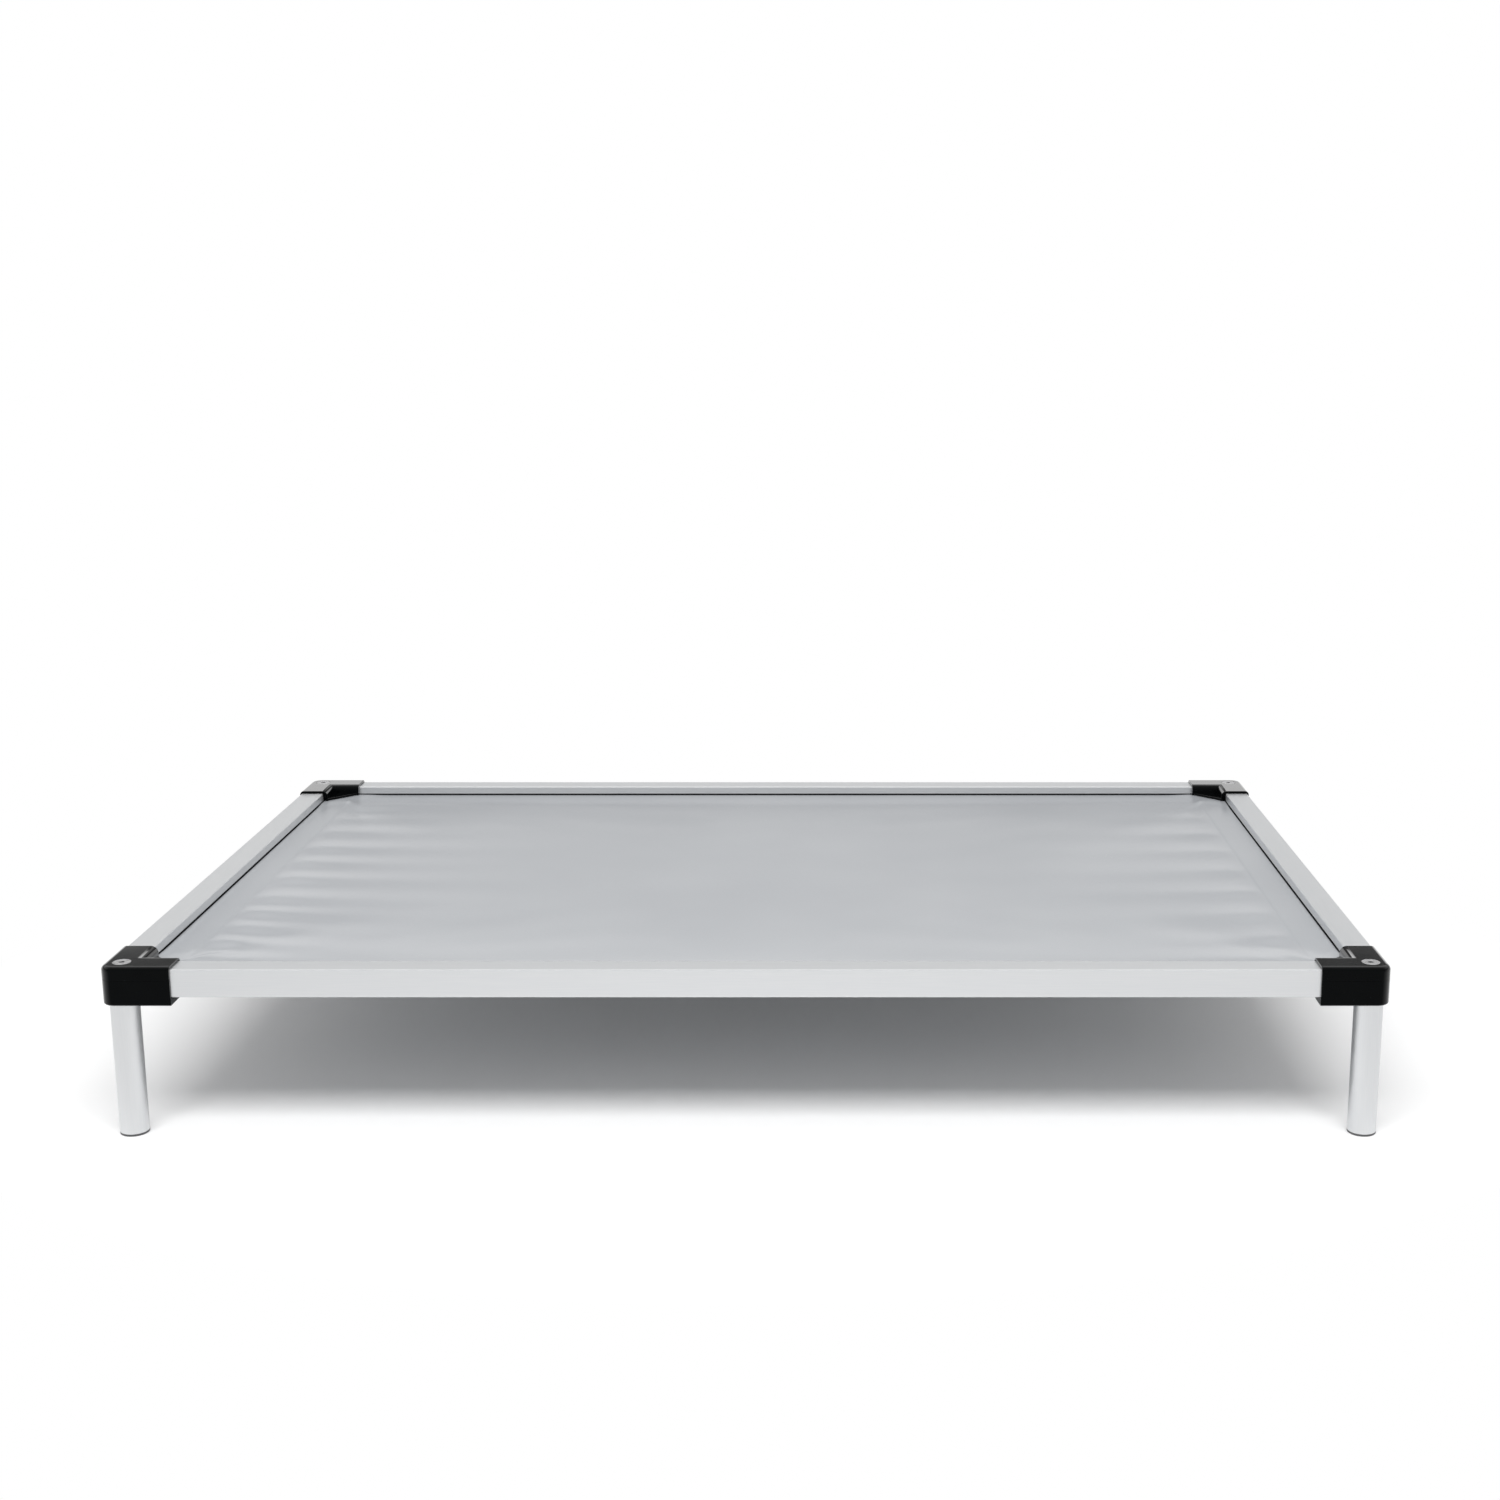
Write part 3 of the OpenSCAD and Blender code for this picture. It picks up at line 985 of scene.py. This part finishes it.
def makeDeck():
    size = deckShape
    wide = deckHigh.x - deckLow.x
    deep = deckHigh.y - deckLow.y
    deselectAll()
    bpy.ops.mesh.primitive_grid_add(x_subdivisions=round(wide / size["cell"]),
                                    y_subdivisions=round(deep / size["cell"]),
                                    size=1, location=(0, 0, deckLevel), scale=(wide, deep, 1))
    deck = bpy.context.object
    deck.name = "deck"
    deck.data.name = "deck"
    deck.scale = (wide, deep, 1)
    settle()
    clear = size["clear"]
    notchX = -capHigh.x - clear          # beside the arms' ends
    notchY = -capHigh.y - clear
    wallX = -innerX - clear              # along the blocks' inner faces
    wallY = -innerY - clear
    hem = -innerLeft - size["hemWidth"]
    slope = -capHigh.x - innerY + size["webHold"] * diagonal   # where a corner is cut off
    cuts = []
    for sign in (1, -1):
        for place in (notchX, wallX, hem - size["hemEdge"], hem, hem + size["hemEdge"]):
            cuts.append(((sign * place, 0, 0), (1, 0, 0)))
        for place in (notchY, wallY):
            cuts.append(((0, sign * place, 0), (0, 1, 0)))
    for place, facing in cuts:
        pickAll(deck)
        bpy.ops.mesh.bisect(plane_co=place, plane_no=facing)
        done()
    for signX in (1, -1):
        for signY in (1, -1):
            pickFaces(deck, lambda c, n: c.x * signX > notchX - 0.02 and c.y * signY > notchY - 0.02)
            bpy.ops.mesh.bisect(plane_co=(signX * slope, 0, 0), plane_no=(signX, signY, 0))
            done()

    def cutAway(c):
        x = abs(c.x)
        y = abs(c.y)
        return (x > wallX and y > notchY) or (y > wallY and x > notchX) or x + y > slope

    pickFaces(deck, lambda c, n: cutAway(c))
    bpy.ops.mesh.delete(type="FACE")
    done()
    for point in deck.data.vertices:
        point.co.z = deckLevel + deckHeight(point.co.x, point.co.y)
    deck.data.update()
    focus(deck)
    wall = deck.modifiers.new("thickness", "SOLIDIFY")
    wall.thickness = size["thick"]
    wall.offset = 0
    bpy.ops.object.modifier_apply(modifier=wall.name)
    outwards(deck)
    bpy.ops.object.shade_smooth_by_angle(angle=radians(40))
    fitOut(deck, "deck_fabric", coatedFabric)
    return deck


deck = makeDeck()
print("deck made")


# floor, world, lamps and camera
studio = {
    "floorSize": 14,
    "floorRoughness": 0.9,
    "keyPlace": (0.0, -1.6, 2.25),
    "keyTarget": (0, 0, 0.1),
    "keySize": (2.8, 1.0),
    "keyPower": 60,
    "stripPlaces": ((0.0, -0.5, 1.9), (0.0, 0.5, 1.9)),   # narrow lamps for bright edges
    "stripTarget": (0, 0, 0.15),
    "stripSize": (2.6, 0.16),
    "stripPower": 2.4,
    "worldFill": 0.62,        # light from all round on matt surfaces
    "backdropLow": 1.06,      # what gloss sees near the horizon
    "bandTone": 0.12,         # the dark band above the backdrop, as gloss sees it
    "ceilingTone": 1.06,       # what gloss sees above the band
    "bandStart": 0.278,       # heights of the band's edges, as sines
    "bandEnd": 0.42,
    "floorColour": (0.95, 0.95, 0.95),
    "floorOval": (0.66, 0.50, 1),   # half size of the floor that keeps its shading
}


def makeFloor():
    deselectAll()
    bpy.ops.mesh.primitive_plane_add(size=studio["floorSize"], location=(0, 0, 0))
    floor = bpy.context.object
    floor.name = "floor"
    material = bpy.data.materials.new("paleFloor")
    material.use_nodes = True
    tree = material.node_tree
    shader = tree.nodes["Principled BSDF"]
    out = tree.nodes["Material Output"]
    shader.inputs["Base Color"].default_value = (*studio["floorColour"], 1)
    shader.inputs["Roughness"].default_value = studio["floorRoughness"]
    shader.inputs["Specular IOR Level"].default_value = 0
    glow = addNode(tree, "Emission")
    glow.inputs["Strength"].default_value = 1
    place = addNode(tree, "TexCoord")
    oval = addNode(tree, "Mapping", vector_type="TEXTURE")
    oval.inputs["Scale"].default_value = studio["floorOval"]
    length = addNode(tree, "VectorMath", operation="LENGTH")
    join(tree, place.outputs["Object"], oval.inputs["Vector"])
    join(tree, oval.outputs[0], length.inputs[0])
    far = mathNode(tree, "MULTIPLY_ADD", length.outputs["Value"], 3.0, -3.0, clamp=True)
    path = addNode(tree, "LightPath")
    seen = mathNode(tree, "ADD", path.outputs["Is Camera Ray"], path.outputs["Is Glossy Ray"])
    seen = mathNode(tree, "ADD", seen, path.outputs["Is Transmission Ray"], clamp=True)
    amount = mathNode(tree, "MULTIPLY", far, seen)
    mix = addNode(tree, "MixShader")
    join(tree, amount, mix.inputs[0])
    join(tree, shader.outputs[0], mix.inputs[1])
    join(tree, glow.outputs[0], mix.inputs[2])
    join(tree, mix.outputs[0], out.inputs["Surface"])
    floor.data.materials.append(material)


def makeWorld():
    world = bpy.data.worlds.new("studio")
    bpy.context.scene.world = world
    world.use_nodes = True
    tree = world.node_tree
    background = tree.nodes["Background"]
    place = addNode(tree, "TexCoord")
    axes = addNode(tree, "SeparateXYZ")
    join(tree, place.outputs["Generated"], axes.inputs[0])
    height = mathNode(tree, "SUBTRACT", axes.outputs[2], studio["bandStart"])
    enter = mathNode(tree, "MULTIPLY_ADD", height, 60.0, 0.5, clamp=True)
    height = mathNode(tree, "SUBTRACT", axes.outputs[2], studio["bandEnd"])
    leave = mathNode(tree, "MULTIPLY_ADD", height, 8.0, 0.5, clamp=True)
    gloss = mathNode(tree, "MULTIPLY_ADD", enter, studio["bandTone"] - studio["backdropLow"],
                     studio["backdropLow"])
    gloss = mathNode(tree, "MULTIPLY_ADD", leave, studio["ceilingTone"] - studio["bandTone"], gloss)
    path = addNode(tree, "LightPath")
    reflected = mathNode(tree, "ADD", path.outputs["Is Glossy Ray"], path.outputs["Is Transmission Ray"],
                         clamp=True)
    fillPart = mathNode(tree, "SUBTRACT", 1.0, reflected)
    fill = mathNode(tree, "MULTIPLY", fillPart, studio["worldFill"])
    seen = mathNode(tree, "MULTIPLY_ADD", gloss, reflected, fill)
    notCamera = mathNode(tree, "SUBTRACT", 1.0, path.outputs["Is Camera Ray"])
    strength = mathNode(tree, "MULTIPLY_ADD", seen, notCamera, path.outputs["Is Camera Ray"])
    join(tree, strength, background.inputs["Strength"])
    background.inputs["Color"].default_value = (1, 1, 1, 1)


def makeLamp(name, place, target, size, power):
    lamp = bpy.data.lights.new(name, "AREA")
    lamp.shape = "RECTANGLE"
    lamp.size, lamp.size_y = size
    lamp.energy = power
    holder = bpy.data.objects.new(name, lamp)
    bpy.context.scene.collection.objects.link(holder)
    holder.location = place
    holder.rotation_euler = (Vector(target) - Vector(place)).to_track_quat("-Z", "Y").to_euler()
    return holder


makeFloor()
makeWorld()
keySoftbox = makeLamp("keySoftbox", studio["keyPlace"], studio["keyTarget"], studio["keySize"],
                      studio["keyPower"])
keySoftbox.visible_glossy = False
for index, place in enumerate(studio["stripPlaces"]):
    makeLamp("edgeStrip" + str(index), place, studio["stripTarget"], studio["stripSize"],
             studio["stripPower"])

cameraView = {
    "place": (0.0942, -2.0310, 0.7167),
    "down": 12.298,
    "lens": 48.34,
    "sensor": 36,
    "shift": -0.0691,
}

cameraData = bpy.data.cameras.new("camera")
cameraData.lens = cameraView["lens"]
cameraData.sensor_width = cameraView["sensor"]
cameraData.shift_x = cameraView["shift"]
camera = bpy.data.objects.new("camera", cameraData)
bpy.context.scene.collection.objects.link(camera)
camera.location = cameraView["place"]
camera.rotation_euler = (radians(90 - cameraView["down"]), 0, 0)
bpy.context.scene.camera = camera
bpy.context.scene.view_settings.view_transform = "Standard"
print("studio ready")
